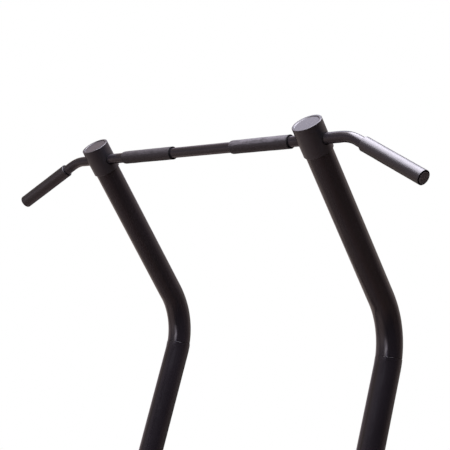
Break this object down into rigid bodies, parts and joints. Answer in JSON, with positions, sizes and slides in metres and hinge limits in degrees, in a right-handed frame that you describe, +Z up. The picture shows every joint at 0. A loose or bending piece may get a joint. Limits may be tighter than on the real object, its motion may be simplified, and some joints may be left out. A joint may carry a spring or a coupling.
{
  "type": "pull-up dip station",
  "caption": "Free-standing pull-up and dip station: C-shaped uprights, a pull-up bar with angled wide handles, dip arms and a levelling base.",
  "frame": {"origin": "on the floor under the middle of the station", "axes": "+Z up from the floor, +X to the right-hand upright, -Y to the front, the way the user faces out from the dip arms and the wide handles lean"},
  "size_m": [1.31, 1.147, 2.1744],
  "materials": {
    "frame_paint": "satin black powder coat",
    "bar_paint": "satin black powder coat",
    "cap_plastic": "satin moulded plastic",
    "grip_rubber": "pebbled",
    "wide_grip_rubber": "smooth satin",
    "plug_plastic": "matte",
    "bolt_steel": "blackened",
    "inner_steel": "bare",
    "foot_rubber": "matte"
  },
  "bodies": {
    "frame": {"back_bar_bolt_left": "bolt_steel", "back_bar_bolt_right": "bolt_steel", "back_crossbar": "frame_paint", "bar_grip_left": "grip_rubber", "bar_grip_right": "grip_rubber", "bar_grommet_left_inner": "plug_plastic", "bar_grommet_left_outer": "plug_plastic", "bar_grommet_right_inner": "plug_plastic", "bar_grommet_right_outer": "plug_plastic", "base_rail_left": "frame_paint", "base_rail_right": "frame_paint", "dip_arm_left": "frame_paint", "dip_arm_right": "frame_paint", "dip_bolt_left_inner": "bolt_steel", "dip_bolt_left_outer": "bolt_steel", "dip_bolt_right_inner": "bolt_steel", "dip_bolt_right_outer": "bolt_steel", "dip_clamp_left": "frame_paint", "dip_clamp_right": "frame_paint", "dip_grip_left": "wide_grip_rubber", "dip_grip_right": "wide_grip_rubber", "dip_plug_left": "plug_plastic", "dip_plug_right": "plug_plastic", "handle_spigot_left": "inner_steel", "handle_spigot_right": "inner_steel", "head_bolt_left": "bolt_steel", "head_bolt_right": "bolt_steel", "head_cap_left": "cap_plastic", "head_cap_right": "cap_plastic", "joint_bolt_left": "bolt_steel", "joint_bolt_right": "bolt_steel", "joint_spigot_left": "inner_steel", "joint_spigot_right": "inner_steel", "leg_bolt_left_front": "bolt_steel", "leg_bolt_left_rear": "bolt_steel", "leg_bolt_right_front": "bolt_steel", "leg_bolt_right_rear": "bolt_steel", "leg_left": "frame_paint", "leg_right": "frame_paint", "pullup_bar": "bar_paint", "rail_plug_left_front": "plug_plastic", "rail_plug_left_rear": "plug_plastic", "rail_plug_right_front": "plug_plastic", "rail_plug_right_rear": "plug_plastic", "rear_bar_bolt_left": "bolt_steel", "rear_bar_bolt_right": "bolt_steel", "rear_crossbar": "frame_paint", "upper_upright_left": "frame_paint", "upper_upright_right": "frame_paint", "wide_grip_left": "wide_grip_rubber", "wide_grip_right": "wide_grip_rubber", "wide_handle_left": "bar_paint", "wide_handle_right": "bar_paint", "wide_plug_left": "plug_plastic", "wide_plug_right": "plug_plastic"},
    "foot_left_front": {"foot_left_front": "foot_rubber"},
    "foot_left_rear": {"foot_left_rear": "foot_rubber"},
    "foot_right_front": {"foot_right_front": "foot_rubber"},
    "foot_right_rear": {"foot_right_rear": "foot_rubber"}
  },
  "joints": [
    {"name": "foot_left_front_height", "type": "slide", "parent": "frame", "child": "foot_left_front", "axis": [0, 0, -1], "range_m": [-0.006, 0.01]},
    {"name": "foot_left_rear_height", "type": "slide", "parent": "frame", "child": "foot_left_rear", "axis": [0, 0, -1], "range_m": [-0.006, 0.01]},
    {"name": "foot_right_front_height", "type": "slide", "parent": "frame", "child": "foot_right_front", "axis": [0, 0, -1], "range_m": [-0.006, 0.01]},
    {"name": "foot_right_rear_height", "type": "slide", "parent": "frame", "child": "foot_right_rear", "axis": [0, 0, -1], "range_m": [-0.006, 0.01]}
  ]
}
